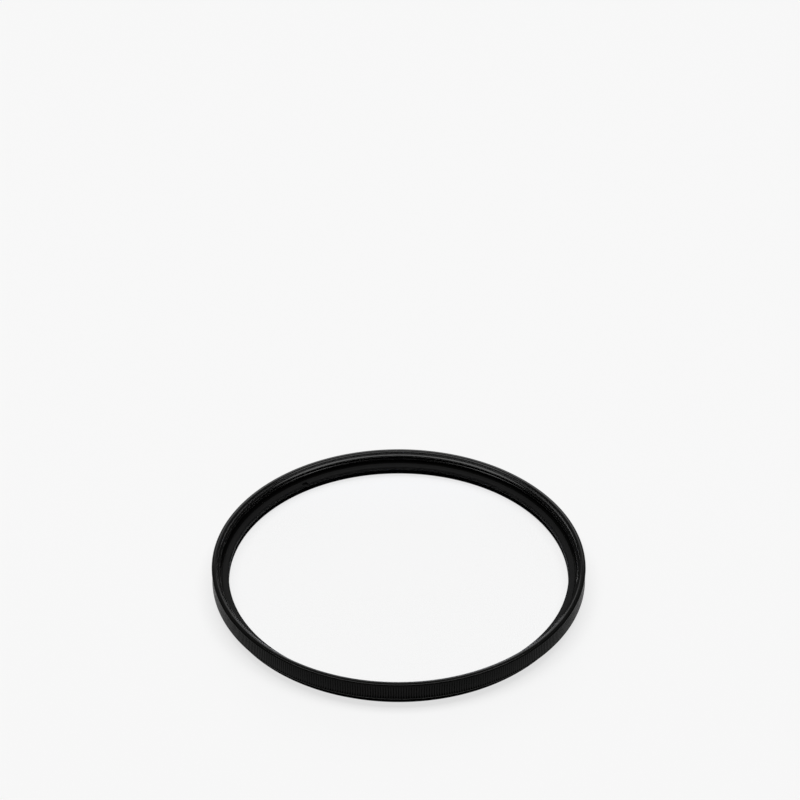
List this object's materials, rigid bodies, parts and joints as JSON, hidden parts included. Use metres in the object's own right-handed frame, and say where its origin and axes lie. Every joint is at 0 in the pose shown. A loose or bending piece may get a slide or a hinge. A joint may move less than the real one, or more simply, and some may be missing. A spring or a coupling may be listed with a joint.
{
  "type": "ultraviolet lens filter",
  "caption": "Round screw-in lens filter: clear coated glass held by a slotted ring in a thin black knurled frame, with a male thread behind and a female thread in front.",
  "frame": {"origin": "on the optical axis, in the end face of the male thread on which the filter stands", "axes": "+Z along the optical axis, towards the front of the filter; X and Y lie across it"},
  "size_m": [0.0742, 0.0742, 0.0056],
  "materials": {
    "anodised_frame": "satin black anodised, knurled on the rim",
    "coated_glass": "polished clear glass with an anti-reflection coating",
    "anodised_ring": "matt black anodised"
  },
  "bodies": {
    "root": {"filter_frame": "anodised_frame", "filter_glass": "coated_glass", "retaining_ring": "anodised_ring"}
  },
  "joints": []
}
